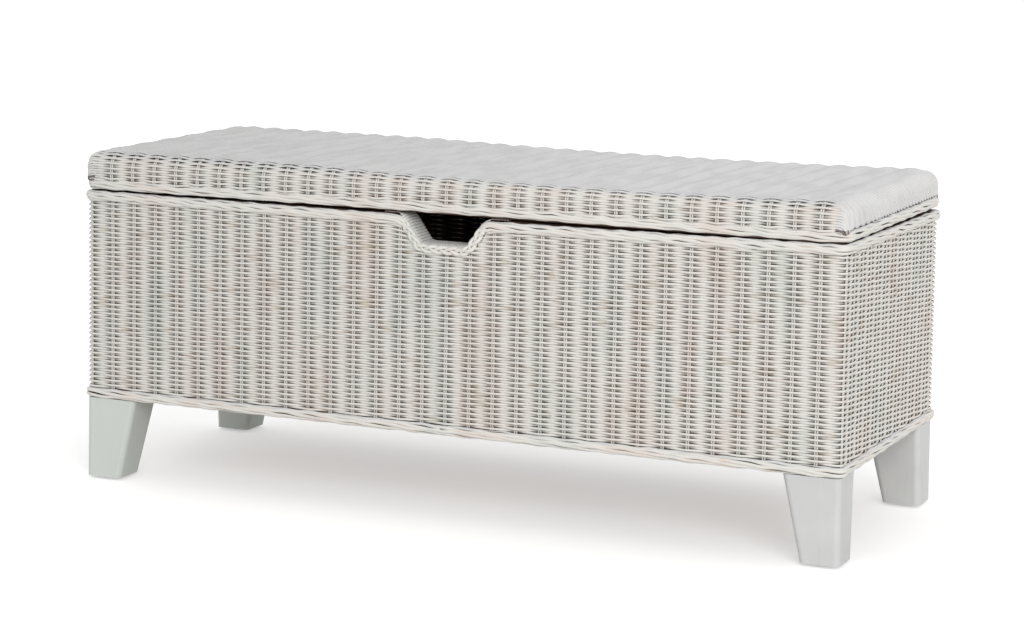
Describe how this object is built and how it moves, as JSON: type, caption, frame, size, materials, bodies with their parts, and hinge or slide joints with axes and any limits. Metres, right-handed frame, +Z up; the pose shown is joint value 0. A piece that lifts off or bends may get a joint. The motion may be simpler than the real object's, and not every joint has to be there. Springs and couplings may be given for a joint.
{
  "type": "storage chest",
  "caption": "Whitewashed wicker storage chest with a hinged woven seat lid, a hand notch in the front rim and tapered painted feet.",
  "frame": {"origin": "on the floor, under the middle of the whole chest", "axes": "+Z up, +X to the right seen from the front, the front with the hand notch faces -Y"},
  "size_m": [1.108, 0.4312, 0.463],
  "materials": {
    "whitewashed_cane": "whitewashed rattan, satin, brown in the recesses",
    "peeled_cane": "flat peeled cane strips, satin",
    "painted_foot": "pale grey-white paint, semi-matte",
    "frame_wood": "dark stained hardwood, satin",
    "panel_wood": "dark stained plywood, matte",
    "steel": "plain zinc-plated steel",
    "rubber": "soft black",
    "glide_plastic": "grey, matte"
  },
  "bodies": {
    "chest": {"front_weave": "whitewashed_cane", "back_weave": "whitewashed_cane", "left_weave": "whitewashed_cane", "right_weave": "whitewashed_cane", "rim_braid": "whitewashed_cane", "bottom_braid": "whitewashed_cane", "notch_wrap": "peeled_cane", "corner_post_front_left": "frame_wood", "foot_front_left": "painted_foot", "corner_post_front_right": "frame_wood", "foot_front_right": "painted_foot", "corner_post_back_left": "frame_wood", "foot_back_left": "painted_foot", "corner_post_back_right": "frame_wood", "foot_back_right": "painted_foot", "top_rail_left": "frame_wood", "bottom_rail_left": "frame_wood", "top_rail_right": "frame_wood", "bottom_rail_right": "frame_wood", "top_rail_front": "frame_wood", "bottom_rail_front": "frame_wood", "top_rail_back": "frame_wood", "bottom_rail_back": "frame_wood", "floor_battens": "frame_wood", "corner_blocks": "frame_wood", "floor_panel": "panel_wood", "foot_glides": "glide_plastic", "foot_bolts": "steel", "hinge_body_leaves": "steel", "hinge_pins": "steel", "stay_body_plates": "steel"},
    "lid": {"lid_weave": "whitewashed_cane", "lid_braid": "whitewashed_cane", "lid_rail_front": "frame_wood", "lid_rail_back": "frame_wood", "lid_rail_left": "frame_wood", "lid_rail_right": "frame_wood", "lid_deck": "panel_wood", "lid_cross_rails": "frame_wood", "lid_bumpers": "rubber", "hinge_lid_leaves": "steel", "stay_lid_plates": "steel"},
    "stay_left": {"stay_arm_left": "steel"},
    "stay_right": {"stay_arm_right": "steel"}
  },
  "joints": [
    {"name": "lid_open", "type": "hinge", "parent": "chest", "child": "lid", "pos_m": [0, 0.21238, 0.40825], "axis": [-1, 0, 0], "range_deg": [0, 95]},
    {"name": "stay_left_swing", "type": "hinge", "parent": "lid", "child": "stay_left", "pos_m": [-0.51245, 0.06229, 0.426], "axis": [-1, 0, 0], "range_deg": [-47.5, 0]},
    {"name": "stay_right_swing", "type": "hinge", "parent": "lid", "child": "stay_right", "pos_m": [0.51245, 0.06229, 0.426], "axis": [-1, 0, 0], "range_deg": [-47.5, 0]}
  ],
  "couplings": [
    {"joint": "stay_left_swing", "follows": "lid_open", "ratio": -0.5},
    {"joint": "stay_right_swing", "follows": "lid_open", "ratio": -0.5}
  ]
}
